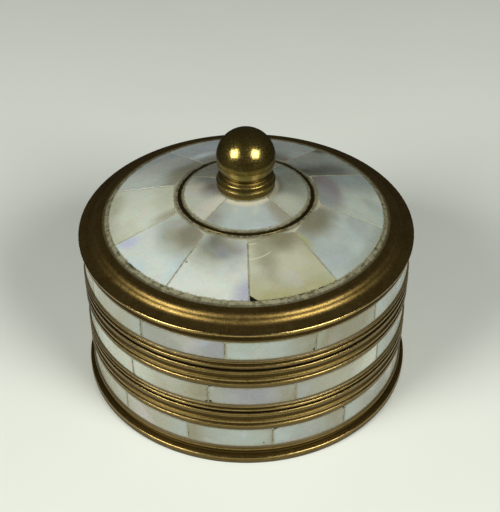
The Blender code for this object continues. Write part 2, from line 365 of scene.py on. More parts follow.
def make_filler(name, light, dark, depth, edges=(), field=None):
    """Ivory cement, mottled, dirty in sunk joints, with painted shade and dirt where it lies deep, and
    marked along broken lines at the given radii, some of them grime with painted shade.

    depth is the function that gives how deep a place lies. An edge is (radius, width, how rare the
    marks are, their tint). Outside the radius field there are no joints.
    """
    graph = Graph(name)
    place = graph.position()
    stain = graph.noise(place, 0.5, 4, 0.65)
    speck = graph.noise(place, 4.0, 3, 0.7)
    color = graph.mix(graph.between(stain, 0.35, 0.7), light, dark)
    color = graph.mix(graph.between(speck, 0.54, 0.72, 0.0, 0.45), color, SPECK)
    radius = axis_distance(graph, place)
    dirt = graph.noise(place, 0.9, 4, 0.7)
    for edge, width, least, tint in edges:
        aside = graph.math("ABSOLUTE", graph.minus(radius, edge))
        near = graph.between(aside, width, width * 0.6)
        broken = graph.between(dirt, least, least + 0.15, 0.0, 0.85)
        color = graph.mix(graph.times(near, broken), color, tint)
    sunk = depth(graph, place)
    dashes = graph.between(dirt, 0.50, 0.58)
    if field:
        dashes = graph.times(dashes, graph.between(radius, field - 0.2, field - 0.4))
    dashes = graph.times(graph.between(sunk, 0.045, 0.075), dashes)
    color = graph.mix(graph.times(dashes, 0.6), color, JOINT_DIRT)
    # Painted shade with dirt where the cement lies deep.
    color = graph.shade_and_dirt_where_low(sunk, color, 0.16, 0.30)
    normal = graph.bump(speck, 0.03 * MM)
    return graph.shade(Base_Color=color, Roughness=0.62, Normal=normal)


def patched(graph, color, across, up, warp, patches):
    """Soft patches of other tints. See make_pearl."""
    for tint, middle, level, half_width, half_height in patches:
        aside = graph.math("DIVIDE", graph.minus(across, middle), half_width)
        above = graph.math("DIVIDE", graph.minus(up, level), half_height)
        away = graph.add(graph.length(aside, above), warp)
        color = graph.mix(graph.between(away, 1.55, 0.25), color, tint)
    return color


def soiled(graph, color, place, to_side, to_end, upright):
    """Dirt that has crept in from a tile's sides and ends, over the distances to them."""
    ragged = graph.swing(graph.noise(place, 2.2, 3, 0.7), 0.9)
    reach, share, tint = (0.65, 0.60, SIDE_DIRT) if upright else (0.35, 0.45, LID_DIRT)
    dirt = graph.between(graph.add(to_side, ragged), reach, 0.05, 0.0, share)
    color = graph.mix(dirt, color, tint)
    reach = 0.50 if upright else 0.35
    dirt = graph.between(graph.add(to_end, ragged), reach, 0.0, 0.0, 0.85)
    return graph.mix(dirt, color, END_DIRT)


def veined(graph, color, across, up, length, veins):
    """Pale veins that start at a tile's side and bend inwards."""
    for level, end, fall in veins:
        along = graph.add(across, 1.0)
        bent = graph.times(graph.times(along, along), fall)
        off = graph.add(graph.minus(up, level), bent)
        off = graph.times(graph.math("ABSOLUTE", off), length)
        line = graph.between(off, 0.16, 0.05)
        line = graph.times(line, graph.between(along, end, end - 0.2, 0.0, 0.6))
        color = graph.mix(line, color, VEIN)
    return color


def make_pearl(node, look, inner, outer, upright):
    """Mother of pearl for one tile.

    look is (main tint, second tint, patches). A patch is (tint, across, up, half width, half height):
    across runs from -1 to 1 with the azimuth, and up from 0 at inner to 1 at outer, which are radii
    on the lid and heights on the side.
    """
    main, second, patches = look
    azimuth, span = span_of(node)
    half_span, length = math.radians(span / 2), outer - inner
    seed = sum(ord(letter) for letter in node) % 97
    graph = Graph("pearl " + node)
    place = graph.position()
    turn = graph.nodes.new("ShaderNodeVectorRotate")
    turn.rotation_type = "Z_AXIS"
    turn.inputs["Angle"].default_value = math.radians(90 - azimuth)
    graph.put(turn.inputs["Vector"], place)
    x, y, z = graph.split(turn.outputs[0])
    radius = axis_distance(graph, place)
    across = graph.math("DIVIDE", graph.math("ARCTAN2", y, x), half_span)
    up = graph.math("DIVIDE", graph.minus(z if upright else radius, inner), length)
    moved = graph.vector("ADD", place, (seed * 3.1, seed * 1.7, seed * 0.9))

    cloud = graph.noise(moved, 0.13, 1, 0.4, 0.4)
    wisp = graph.noise(moved, 0.40, 2, 0.5, 0.3)
    fine = graph.noise(graph.vector("MULTIPLY", turn.outputs[0], (2.6, 0.35, 2.6)), 1.0, 3, 0.6)
    dust = graph.noise(moved, 7.0, 2, 0.6)
    color = graph.mix(graph.between(cloud, 0.36, 0.64), main, second)
    warp = graph.add(graph.swing(cloud, 1.0), graph.swing(wisp, 0.25))
    color = patched(graph, color, across, up, warp, patches)
    for tint, start, end in SHEENS:
        hue = graph.noise(graph.vector("ADD", moved, (tint[0] * 90, tint[1] * 50, 0)), 0.14, 1, 0.4, 0.5)
        color = graph.mix(graph.between(hue, start, end, 0.0, 0.16), color, tint)
    shade = graph.between(fine, 0.3, 0.7, 0.985, 1.01)
    shade = graph.add(shade, graph.between(wisp, 0.3, 0.7, -0.015, 0.015))
    shade = graph.add(shade, graph.between(dust, 0.3, 0.7, -0.02, 0.02))
    color = graph.mix(1.0, color, graph.join(shade, shade, shade), "MULTIPLY")

    to_side = graph.minus(1.0, graph.math("ABSOLUTE", across))
    to_side = graph.times(graph.times(to_side, radius), half_span)
    to_end = graph.minus(0.5, graph.math("ABSOLUTE", graph.minus(up, 0.5)))
    to_end = graph.times(to_end, length)
    color = soiled(graph, color, place, to_side, to_end, upright)
    color = graph.mix(graph.between(dust, 0.76, 0.79, 0.0, 0.8), color, PINHOLE)
    color = veined(graph, color, across, up, length, VEINS.get(node, ()))
    sunk = (depth_in_band if upright else depth_in_crown)(graph, place)
    # Painted shade with dirt in the pits and along the low, bevelled edges.
    color = graph.shade_and_dirt_where_low(sunk, color, 0.10, 0.22)
    normal = graph.bump(fine, 0.006 * MM)
    normal = graph.bump(wisp, (0.006 if upright else 0.020) * MM, normal)
    rough = graph.between(wisp, 0.3, 0.7, 0.22, 0.34)
    graph.shader.inputs["Subsurface Scale"].default_value = 0.5 * MM
    return graph.shade(
        Base_Color=color, Roughness=rough, Normal=normal, Subsurface_Weight=0.2, Coat_Weight=0.3,
        Coat_Roughness=0.15, IOR=1.53,
    )


# ---------------------------------------------------------------- meshes


def new_piece(bm, name):
    """Turn a bmesh into an object in the scene."""
    bmesh.ops.recalc_face_normals(bm, faces=bm.faces)
    mesh = bpy.data.meshes.new(name)
    bm.to_mesh(mesh)
    bm.free()
    piece = bpy.data.objects.new(name, mesh)
    bpy.context.scene.collection.objects.link(piece)
    return piece


def rounded(points, closed, arc_steps=4):
    """Outline with its corners rounded. A point is (radius, height) or (radius, height, fillet)."""
    outline = []
    count = len(points)
    for index, point in enumerate(points):
        here = Vector(point[:2])
        fillet = point[2] if len(point) > 2 else 0.0
        at_end = not closed and index in (0, count - 1)
        if fillet == 0 or at_end:
            outline.append(here)
            continue
        before = Vector(points[index - 1][:2]) - here
        after = Vector(points[(index + 1) % count][:2]) - here
        half = before.angle(after) / 2
        reach = min(fillet / math.tan(half), before.length * 0.49, after.length * 0.49)
        fillet = reach * math.tan(half)
        centre = here + (before.normalized() + after.normalized()).normalized() * fillet / math.sin(half)
        start = here + before.normalized() * reach - centre
        end = here + after.normalized() * reach - centre
        for step in range(arc_steps + 1):
            share = step / arc_steps
            spoke = start * (1 - share) + end * share
            outline.append(centre + spoke.normalized() * fillet)
    return outline


def eased(outline, closed, nearby=(0.15, 0.45)):
    """Extra points near the ends of long runs, so that what the outline carries fades there."""
    made = []
    count = len(outline)
    for index, here in enumerate(outline):
        made.append(here)
        if index == count - 1 and not closed:
            break
        run = outline[(index + 1) % count] - here
        inside = [d for d in nearby if d < run.length / 2.2]
        marks = inside + [run.length - d for d in reversed(inside)]
        made += [here + run.normalized() * d for d in marks]
    return made


def relief_of(outline, closed, spread=0.22):
    """How far each point of an outline stands on a crest (towards 1) or in a groove (towards -1)."""
    count = len(outline)
    bends = []
    for index, here in enumerate(outline):
        if not closed and index in (0, count - 1):
            bends.append(0.0)
            continue
        before = here - outline[index - 1]
        after = outline[(index + 1) % count] - here
        if before.length < 1e-6 or after.length < 1e-6:
            bends.append(0.0)
            continue
        bends.append(before.angle_signed(after))
    values = []
    for here in outline:
        total = 0.0
        for there, bend in zip(outline, bends):
            gap = (there - here).length
            if bend and gap < spread * 4:
                total += bend * math.exp(-((gap / spread) ** 2))
        values.append(max(-1.0, min(1.0, total / 1.2)))
    return values


def turned(name, points, around=AROUND, closed=False):
    """A turned piece. Its outline, in millimetres, runs down its outer side.

    An outline that isn't closed starts and ends on the axis. Each point keeps its relief.
    """
    outline = eased(rounded(points, closed), closed)
    relief = relief_of(outline, closed)
    bm = bmesh.new()
    layer = bm.verts.layers.float.new("relief")
    rings = []
    for spot, value in zip(outline, relief):
        on_axis = spot.x < 1e-6
        ring = []
        for step in range(1 if on_axis else around):
            angle = 2 * math.pi * step / around
            place = Vector((spot.x * math.cos(angle), spot.x * math.sin(angle), spot.y)) * MM
            vertex = bm.verts.new(place)
            vertex[layer] = value
            ring.append(vertex)
        rings.append(ring)
    pairs = list(zip(rings, rings[1:]))
    if closed:
        pairs.append((rings[-1], rings[0]))
    for upper, lower in pairs:
        for step in range(around):
            after = (step + 1) % around
            corners = [upper[step % len(upper)], lower[step % len(lower)]]
            corners += [lower[after % len(lower)], upper[after % len(upper)]]
            bm.faces.new(list(dict.fromkeys(corners)))
    piece = new_piece(bm, name)
    piece.data.shade_smooth()
    piece.data.set_sharp_from_angle(angle=math.radians(38))
    return piece


def trim(bm, point, normal):
    """Cut away what lies beyond a plane and close the cut."""
    geometry = bm.verts[:] + bm.edges[:] + bm.faces[:]
    result = bmesh.ops.bisect_plane(
        bm, geom=geometry, plane_co=Vector(point) * MM, plane_no=Vector(normal), clear_outer=True
    )
    edges = [item for item in result["geom_cut"] if isinstance(item, bmesh.types.BMEdge)]
    if edges:
        bmesh.ops.contextual_create(bm, geom=edges)


def sector(section, azimuth, span, joint, grow=0.0, chord=None, chips=()):
    """A tile: its section swept round the axis and cut to shape, as a bmesh in its place.

    Half the joint is left free at each side, less grow for a pocket. chord cuts the inner end straight.
    chips are planes, (azimuth, distance from the axis, turn of the cut), that take a corner off.
    """
    bm = bmesh.new()
    half = math.radians(span / 2)
    middle = Matrix.Rotation(math.radians(azimuth - 90), 3, "Z")
    start = middle @ Matrix.Rotation(-half, 3, "Z")
    loop = [bm.verts.new(start @ Vector((radius * MM, 0, height * MM))) for radius, height in section]
    face = bm.faces.new(loop)
    bmesh.ops.spin(
        bm, geom=[face] + face.edges[:] + loop, axis=(0, 0, 1), cent=(0, 0, 0), angle=2 * half,
        steps=max(4, round(span / TILE_STEP)),
    )
    for side in (-1, 1):
        normal = middle @ Vector((-math.sin(half), side * math.cos(half), 0))
        trim(bm, -normal * (joint / 2 - grow), normal)
    if chord:
        inward = middle @ Vector((-1, 0, 0))
        trim(bm, -inward * (chord - grow), inward)
    for where, distance, turn in chips:
        spot = Vector((math.sin(math.radians(where)), -math.cos(math.radians(where)), 0)) * distance
        facing = math.radians(where - 90 + turn)
        normal = Vector((math.cos(facing), math.sin(facing), 0))
        trim(bm, spot + normal * grow, normal)
    bmesh.ops.recalc_face_normals(bm, faces=bm.faces)
    return bm


def soften(piece):
    """Take the sharpness off a tile's edges."""
    bevel = piece.modifiers.new("Edges", "BEVEL")
    bevel.width = TILE_EDGE * MM
    bevel.segments = 2
    bevel.limit_method = "ANGLE"
    bevel.angle_limit = math.radians(35)
    piece.data.shade_smooth()
    piece.data.set_sharp_from_angle(angle=math.radians(40))


def carve(piece, cutters):
    """Cut solids out of a piece, and leave nothing of them behind."""
    for cutter in cutters:
        boolean = piece.modifiers.new("Cut", "BOOLEAN")
        boolean.operation = "DIFFERENCE"
        boolean.solver = "EXACT"
        boolean.object = cutter
    bpy.context.view_layer.update()
    shaped = piece.evaluated_get(bpy.context.evaluated_depsgraph_get())
    mesh = bpy.data.meshes.new_from_object(shaped)
    piece.modifiers.clear()
    piece.data = mesh
    mesh.name = piece.name
    for cutter in cutters:
        bpy.data.objects.remove(cutter, do_unlink=True)
    mesh.shade_smooth()
    mesh.set_sharp_from_angle(angle=math.radians(35))


def make_pit(azimuth, radius, height, size):
    """A ball that takes a small hole out of a surface."""
    bm = bmesh.new()
    bmesh.ops.create_icosphere(bm, subdivisions=2, radius=size * MM)
    around = math.radians(azimuth)
    spot = Vector((math.sin(around) * radius, -math.cos(around) * radius, height))
    bmesh.ops.translate(bm, verts=bm.verts, vec=spot * MM)
    return new_piece(bm, "pit")


def make_sliver(azimuth, length, width):
    """A thin wedge that takes a sliver out of the outer edge of the lid's tiles."""
    inside, outside = FIELD - width, FIELD + 0.3
    top, bottom = crown(inside) + 0.5, crown(inside) - 0.45
    section = [(inside, top), (outside, top), (outside, bottom), (inside + 0.05, bottom)]
    return new_piece(sector(section, azimuth, length, 0.0), "sliver")


def settle(piece, node, body, material):
    """Give a piece its finish and let it stand for a CAD node."""
    piece.data.materials.clear()
    piece.data.materials.append(material)
    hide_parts(node)
    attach(piece, body)


def span_of(node):
    """Middle azimuth of a CAD tile and the angle from joint to joint, from its outer corners."""
    corners = [vertex.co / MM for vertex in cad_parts[node].data.vertices]
    middle = sum(corners, Vector()) / len(corners)
    outer = max(corner.xy.length for corner in corners)
    heading = Vector((middle.x, middle.y)).normalized()
    angles = [-heading.angle_signed(corner.xy) for corner in corners if corner.xy.length > outer - 0.25]
    lead, tail = max(angles), min(angles)
    joint = 2 * math.asin(CAD_JOINT / 2 / outer)
    azimuth = math.degrees(math.atan2(heading.x, -heading.y) + (lead + tail) / 2)
    return azimuth, math.degrees(lead - tail + joint)


# ---------------------------------------------------------------- brass


def upper_moulding(z, height):
    """From a seat down to a tile groove: flat ridge, recess, bead, groove and lip."""
    return [
        (BRASS, z + height, 0.15),
        (BRASS, z + height * 0.82, 0.25),
        (BRASS - 0.30, z + height * 0.79, 0.15),
        (BRASS - 0.30, z + height * 0.61, 0.15),
        (BRASS - 0.02, z + height * 0.56, 0.3),
        (BRASS - 0.02, z + height * 0.44, 0.3),
        (BRASS - 0.48, z + height * 0.40, 0.12),
        (BRASS - 0.45, z + height * 0.36, 0.12),
        (BRASS, z + height * 0.31, 0.18),
        (BRASS - 0.04, z + height * 0.14, 0.6),
        (TILE_FACE + 0.02, z, 0.05),
    ]


def lower_moulding(z, height):
    """From a tile groove down to the seam below it: lip, groove and bead."""
    return [
        (TILE_FACE + 0.02, z, 0.05),
        (BRASS - 0.06, z - height * 0.14, 0.6),
        (BRASS - 0.06, z - height * 0.27, 0.2),
        (BRASS - 0.34, z - height * 0.31, 0.12),
        (BRASS - 0.34, z - height * 0.49, 0.12),
        (BRASS - 0.02, z - height * 0.54, 0.2),
        (BRASS - 0.02, z - height * 0.70, 0.25),
        (BRASS - 0.14, z - height * 0.88, 0.2),
        (BRASS - 0.32, z - height, 0.1),
    ]


def cup(floor, top, shoulder):
    """The inside of a tray, and its spigot down to the shoulder that the next body stands on."""
    return [(0, floor), (BORE, floor, 0.8), (BORE, top, 0.15), (SPIGOT, top, 0.25), (SPIGOT, shoulder, 0.1)]


def base_tray_outline():
    """Cup, upper moulding, tile groove, lip and foot."""
    floor, top = FLOOR, BASE_TOP + SPIGOT_RISE
    bottom, crest = BANDS["base_tile"]
    points = cup(floor, top, BASE_TOP) + upper_moulding(crest, BASE_TOP - crest)
    return points + [
        (RECESS, crest),
        (RECESS, bottom),
        (TILE_FACE + 0.02, bottom, 0.05),
        (BRASS - 0.05, bottom - 0.4, 0.8),
        (BRASS - 0.05, bottom - 0.85, 0.25),
        (BRASS - 0.50, bottom - 1.25, 0.4),
        (BRASS - 0.50, 1.90, 0.3),
        (FOOT, 1.62, 0.25),
        (FOOT, 0, 0.45),
        (0, 0),
    ]


def middle_tray_outline():
    """Cup, both mouldings with the tile groove between them, and the socket below."""
    seat = MIDDLE_BOTTOM + SPIGOT_RISE
    floor, top = seat + FLOOR, MIDDLE_TOP + SPIGOT_RISE
    bottom, crest = BANDS["middle_tile"]
    points = cup(floor, top, MIDDLE_TOP) + upper_moulding(crest, MIDDLE_TOP - crest)
    points += [(RECESS, crest), (RECESS, bottom)] + lower_moulding(bottom, bottom - MIDDLE_BOTTOM)
    return points + [(SOCKET, MIDDLE_BOTTOM, 0.2), (SOCKET, seat, 0.1), (0, seat)]


def lid_shell_outline():
    """Bed for the inlay, sloping rim, tile groove, lower moulding, socket and the hollow under the lid."""
    seat = LID_BOTTOM + SPIGOT_RISE
    bottom, crest = BANDS["lid_band_tile"]
    under = BED_DEPTH + SHELL
    points = [(STEM_HOLE, crown(STEM_HOLE) - BED_DEPTH), (RIM_BORE, crown(RIM_BORE) - BED_DEPTH)]
    points += [
        (RIM_BORE, crown(RIM_BORE) - 0.10, 0.05),
        (RIM - 3.02, 35.17, 1.3),
        (RIM - 2.52, 33.87, 1.3),
        (RIM - 0.10, 33.30, 0.12),
        (RIM, 33.18, 0.1),
        (RIM, 32.82, 0.15),
        (BRASS - 0.45, 32.55, 0.15),
        (BRASS - 0.45, 32.40, 0.2),
        (BRASS - 0.20, 32.05, 0.5),
        (BRASS - 0.08, crest + 0.4, 0.8),
        (TILE_FACE + 0.02, crest, 0.05),
        (RECESS, crest),
        (RECESS, bottom),
    ]
    points += lower_moulding(bottom, bottom - LID_BOTTOM)
    return points + [
        (SOCKET, LID_BOTTOM, 0.2),
        (SOCKET, seat, 0.1),
        (BORE, seat + 0.3, 0.2),
        (BORE, crest, 1.0),
        (BORE - 1.5, crown(BORE - 1.5) - under, 1.0),
        (6.0, crown(6.0) - under, 0.3),
        (5.0, NUT_TOP + SEAM, 0.2),
        (STEM_HOLE, NUT_TOP + SEAM),
    ]


def knob_outline():
    """Ball, neck, coved collar with a bead, drum and stem."""
    centre = KNOB_TOP - BALL
    neck = math.radians(-36)
    steps = 28
    points = [(0, KNOB_TOP)]
    for step in range(1, steps + 1):
        angle = math.pi / 2 + (neck - math.pi / 2) * step / steps
        points.append((BALL * math.cos(angle), centre + BALL * math.sin(angle)))
    points[-1] += (0.08,)
    return points + [
        (COLLAR - 0.95, centre - 3.55, 0.1),
        (COLLAR - 0.40, centre - 3.95, 0.35),
        (COLLAR - 0.22, centre - 4.75, 0.08),
        (COLLAR, centre - 4.90, 0.1),
        (COLLAR, centre - 5.15, 0.1),
        (COLLAR - 0.10, centre - 5.30, 0.06),
        (COLLAR - 0.06, KNOB_FOOT + 0.3, 0.2),
        (COLLAR - 0.3, KNOB_FOOT, 0.15),
        (STEM, KNOB_FOOT, 0.05),
        (STEM, low("knob").z, 0.2),
        (0, low("knob").z),
    ]


def make_nut(material):
    """Hexagon nut with chamfered corners and a hole for the stem."""
    bottom = low("knob_nut").z
    across = high("knob_nut").y
    thickness = NUT_TOP - bottom
    bm = bmesh.new()
    bmesh.ops.create_cone(
        bm, cap_ends=True, segments=6, radius1=across * MM, radius2=across * MM, depth=thickness * MM
    )
    bmesh.ops.translate(bm, verts=bm.verts, vec=(0, 0, (NUT_TOP + bottom) / 2 * MM))
    nut = new_piece(bm, "fine_knob_nut")
    above, below = NUT_TOP + 1, bottom - 1
    hole = turned("nut_hole", [(0, above), (NUT_HOLE, above), (NUT_HOLE, below), (0, below)], NUT_AROUND)
    cone = turned("nut_cone", [
        (across + 2, above), (across + 2, below), (across - 0.35, bottom - 0.05),
        (across + 0.02, bottom + 0.3), (across + 0.02, NUT_TOP - 0.3), (across - 0.35, NUT_TOP + 0.05),
    ], NUT_AROUND, closed=True)
    carve(nut, [hole, cone])
    settle(nut, "knob_nut", "lid", material)


# ---------------------------------------------------------------- inlay


def band_section(name, grow):
    """Section of a side tile, or with grow of the pocket that it is bedded in."""
    bottom, crest = BANDS[name]
    edge = 0.04 - grow
    top, foot = crest - edge, bottom + edge
    inside, outside = TILE_FACE - TILE - grow, TILE_FACE + (0.6 if grow else 0.0)
    return [(inside, top), (outside, top), (outside, foot), (inside, foot)]


def make_band(name, body, filler_node, filler_material):
    """A filler ring and the twelve tiles bedded in it."""
    bottom, crest = BANDS[name]
    back, face, sunk = RECESS + 0.03, TILE_FACE - 0.02, TILE_FACE - 0.09
    top, foot = crest - 0.02, bottom + 0.02
    filler = turned("fine_" + filler_node, [
        (back, top), (face, top, 0.05), (face, top - 0.25), (sunk, top - 0.45), (sunk, foot + 0.45),
        (face, foot + 0.25), (face, foot, 0.05), (back, foot),
    ], closed=True)
    pockets = []
    nodes = sorted(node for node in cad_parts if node.startswith(name + "_"))
    for node, letters in zip(nodes, BAND_LOOKS[name].split(), strict=True):
        azimuth, span = span_of(node)
        tile = new_piece(sector(band_section(name, 0.0), azimuth, span, JOINT), "fine_" + node)
        carve(tile, [make_pit(where, TILE_FACE, level, size) for where, level, size in PITS.get(node, ())])
        soften(tile)
        pearl = make_pearl(node, banded(letters), bottom, crest, True)
        settle(tile, node, body, pearl)
        pockets.append(new_piece(sector(band_section(name, CUT), azimuth, span, JOINT, CUT), "pocket"))
    carve(filler, pockets)
    settle(filler, filler_node, body, filler_material)


def crown_section(inner, outer, grow):
    """Section of a tile of the lid, or with grow of the pocket that it is bedded in."""
    steps = 4
    radii = [inner - grow + (outer - inner + 2 * grow) * step / steps for step in range(steps + 1)]
    lift = 0.4 if grow else 0.0
    top = [(radius, crown(radius) + lift) for radius in radii]
    return top + [(radius, crown(radius) - TOP_TILE - grow) for radius in reversed(radii)]


def lid_bed_outline():
    """The cement bed: a little lower in the joints, with a slot for the divider ring."""
    def under(radius, drop, *fillet):
        """A point at this drop below the crown."""
        return (radius, crown(radius) - drop, *fillet)

    flush, sunk, bottom = 0.02, 0.08, BED_DEPTH - 0.03
    slot_in, slot_out, slot_depth = DIVIDER[0] - CUT, DIVIDER[1] + CUT, DIVIDER_DEPTH + 0.05
    edge = RIM_BORE - 0.02
    return [
        (STEM_HOLE + 0.1, KNOB_FOOT - 0.05),
        (INNER_EDGE - 0.6, KNOB_FOOT - 0.05),
        under(INNER_EDGE, flush),
        under(INNER_EDGE + 0.6, sunk),
        under(INNER_FIELD - 0.3, sunk),
        under(INNER_FIELD, flush),
        under(slot_in, flush),
        under(slot_in, slot_depth),
        under(slot_out, slot_depth),
        under(slot_out, flush),
        under(FIELD_CHORD + 0.8, flush),
        under(FIELD_CHORD + 1.2, sunk),
        under(20.0, sunk),
        under(FIELD - 0.5, sunk),
        under(FIELD, flush),
        under(edge, flush + 0.1, 0.1),
        under(edge, bottom),
        (STEM_HOLE + 0.1, crown(STEM_HOLE) - bottom),
    ]


def make_divider(material):
    """The thin brass ring between the two rings of tiles."""
    inner, outer = DIVIDER
    ring = turned("fine_lid_divider_ring", [
        (inner, crown(inner) + 0.02, 0.15), (outer, crown(outer) + 0.02, 0.15),
        (outer, crown(outer) - DIVIDER_DEPTH), (inner, crown(inner) - DIVIDER_DEPTH),
    ], closed=True)
    settle(ring, "lid_divider_ring", "lid", material)


def make_lid_top(filler_material):
    """The cement bed, and the outer and inner wedge tiles bedded in it."""
    filler = turned("fine_lid_top_filler", lid_bed_outline(), closed=True)
    pockets = []
    for name, count, inner, outer, chord in (
        ("lid_outer_tile", 10, FIELD_CHORD - 0.05, FIELD, FIELD_CHORD),
        ("lid_inner_tile", 4, INNER_EDGE, INNER_FIELD, None),
    ):
        for number in range(1, count + 1):
            node = f"{name}_{number:02d}"
            azimuth, span = span_of(node)
            chips = CHIPS.get(node, ())
            shape = sector(crown_section(inner, outer, 0.0), azimuth, span, JOINT, 0.0, chord, chips)
            tile = new_piece(shape, "fine_" + node)
            holes = [make_pit(where, reach, crown(reach), size) for where, reach, size in PITS.get(node, ())]
            holes += [make_sliver(*sliver) for sliver in SLIVERS.get(node, ())]
            carve(tile, holes)
            soften(tile)
            pearl = make_pearl(node, LID_LOOKS[node], chord or inner, outer, False)
            settle(tile, node, "lid", pearl)
            shape = sector(crown_section(inner, outer, CUT), azimuth, span, JOINT, CUT, chord)
            pockets.append(new_piece(shape, "pocket"))
    carve(filler, pockets)
    settle(filler, "lid_top_filler", "lid", filler_material)


# ---------------------------------------------------------------- studio

LAMP_DISTANCE, LAMP_SIDE, LAMP_POWER = 0.70, 0.31, 4.15
LAMP_COLOR = (0.985, 1.0, 0.975)
LAMPS = {"left lamp": (-53.5, 34, 30), "right lamp": (46, 36, -30)}  # azimuth, elevation, roll
SURROUND, SURROUND_STRENGTH = (0.80, 0.83, 0.80, 1.0), 0.045
CARD_INSIDE, CARD_OUTSIDE, CARD_HEIGHT = 0.085, 2.0, 0.001
LENS = 75.85
CAMERA_PLACE = (0.0, -0.17313, 0.16156)
CAMERA_AIM = (0.000735, 0.0, 0.02474)
CAMERA_ROLL = -0.23  # degrees


def square_light(name, azimuth, elevation, roll):
    """A lamp facing the box. The two are alike but for their place and how they are turned."""
    data = bpy.data.lights.new(name, "AREA")
    data.shape = "SQUARE"
    data.size = LAMP_SIDE
    data.energy = LAMP_POWER
    data.color = LAMP_COLOR
    lamp = bpy.data.objects.new(name, data)
    level = math.cos(math.radians(elevation))
    around = math.radians(azimuth)
    rise = math.sin(math.radians(elevation))
    heading = Vector((math.sin(around) * level, -math.cos(around) * level, rise))
    lamp.location = heading * LAMP_DISTANCE
    facing = heading.to_track_quat("Z", "Y").to_matrix() @ Matrix.Rotation(math.radians(roll), 3, "Z")
    lamp.rotation_euler = facing.to_euler()
    bpy.context.scene.collection.objects.link(lamp)


def make_dark_card():
    """The dark table round the pale board, which only reflections see."""
    bm = bmesh.new()
    rings = []
    for radius in (CARD_INSIDE, CARD_OUTSIDE):
        ring = []
        for step in range(AROUND):
            angle = 2 * math.pi * step / AROUND
            ring.append(bm.verts.new((radius * math.cos(angle), radius * math.sin(angle), CARD_HEIGHT)))
        rings.append(ring)
    for step in range(AROUND):
        after = (step + 1) % AROUND
        bm.faces.new([rings[0][step], rings[1][step], rings[1][after], rings[0][after]])
    card = new_piece(bm, "dark_card")
    graph = Graph("dark card")
    tone = graph.noise(graph.position(), 0.02, 2)
    color = graph.mix(tone, srgb(24, 24, 22), srgb(34, 34, 32))
    card.data.materials.append(graph.shade(Base_Color=color, Roughness=0.9))
    card.visible_camera = False
    card.visible_diffuse = False
    card.visible_shadow = False
    card.visible_transmission = False


def make_studio():
    """Pale floor, two square lamps in front as in a small photo booth, and a dim surround."""
    bpy.ops.mesh.primitive_plane_add(size=4)
    floor = bpy.context.object
    floor.name = "floor"
    graph = Graph("floor")
    tone = graph.noise(graph.position(), 0.02, 3)
    color = graph.mix(tone, srgb(226, 229, 219), srgb(232, 235, 226))
    floor.data.materials.append(graph.shade(Base_Color=color, Roughness=0.75))
    for name, turns in LAMPS.items():
        square_light(name, *turns)
    make_dark_card()
    world = bpy.data.worlds.new("surround")
    world.use_nodes = True
    background = world.node_tree.nodes["Background"]
    background.inputs["Color"].default_value = SURROUND
    background.inputs["Strength"].default_value = SURROUND_STRENGTH
    bpy.context.scene.world = world
    bpy.context.scene.view_settings.view_transform = "Standard"


def make_camera():
    """The camera at the photograph's angle."""
    data = bpy.data.cameras.new("camera")
    data.lens = LENS
    data.clip_start = 0.01
    camera = bpy.data.objects.new("camera", data)
    bpy.context.scene.collection.objects.link(camera)
    camera.location = CAMERA_PLACE
    heading = (Vector(CAMERA_PLACE) - Vector(CAMERA_AIM)).to_track_quat("Z", "Y").to_matrix()
    roll = Matrix.Rotation(math.radians(CAMERA_ROLL), 3, "Z")
    camera.rotation_euler = (heading @ roll).to_euler()
    bpy.context.scene.camera = camera


# ---------------------------------------------------------------- the box

# Corners broken off the lid's tiles. See sector.
CHIPS = {
    "lid_outer_tile_03": ((-33.35, 27.17, 40), (-53.0, 27.14, 2)),
    "lid_outer_tile_05": ((3.3, 26.67, -39), (36.5, 27.17, 38)),
    "lid_outer_tile_06": ((65.0, 27.14, 0),),
}

# Slivers broken out along the rim of the lid's tiles: azimuth, length in degrees, width.
SLIVERS = {
    "lid_outer_tile_05": (
        (12.0, 5.5, 0.24), (17.8, 2.0, 0.18), (21.5, 3.2, 0.26), (26.2, 2.2, 0.20), (30.0, 2.6, 0.30),
    ),
    "lid_outer_tile_03": ((-52.0, 2.5, 0.24), (-47.6, 1.6, 0.16)),
    "lid_outer_tile_04": ((-26.0, 2.2, 0.14),),
}

# Pale veins in the shell: level up the tile, how far across they run, how much they bend inwards.
VEINS = {"lid_outer_tile_05": ((0.345, 0.85, 0.16), (0.10, 0.45, 0.08))}

# Small holes in the tiles: azimuth, distance from the axis on the lid or height on the side, radius.
PITS = {
    "lid_outer_tile_04": ((-31.4, 21.2, 0.26), (-29.8, 19.2, 0.12)),
    "lid_outer_tile_03": ((-46.0, 23.2, 0.14), (-34.2, 19.5, 0.16)),
    "lid_outer_tile_05": ((34.2, 27.1, 0.22),),
    "lid_outer_tile_06": ((65.0, 27.3, 0.2),),
    "base_tile_02": ((8.2, 4.4, 0.22), (5.5, 4.5, 0.28), (8.3, 6.3, 0.16)),
    "base_tile_03": ((9.2, 8.3, 0.55), (8.7, 5.2, 0.15), (35.0, 8.1, 0.35)),
    "base_tile_04": ((35.9, 6.8, 0.14),),
    "middle_tile_01": ((-42.0, 15.2, 0.5), (-13.3, 18.3, 0.25), (-13.4, 16.9, 0.2), (-13.5, 15.2, 0.4)),
    "middle_tile_02": ((-12.6, 17.7, 0.22), (-12.4, 15.2, 0.6), (-12.5, 19.4, 0.35)),
    "lid_band_tile_01": ((-36.9, 28.2, 0.2), (-36.9, 29.4, 0.2), (-36.8, 27.0, 0.25)),
    "lid_band_tile_03": ((22.1, 27.0, 0.4),),
}

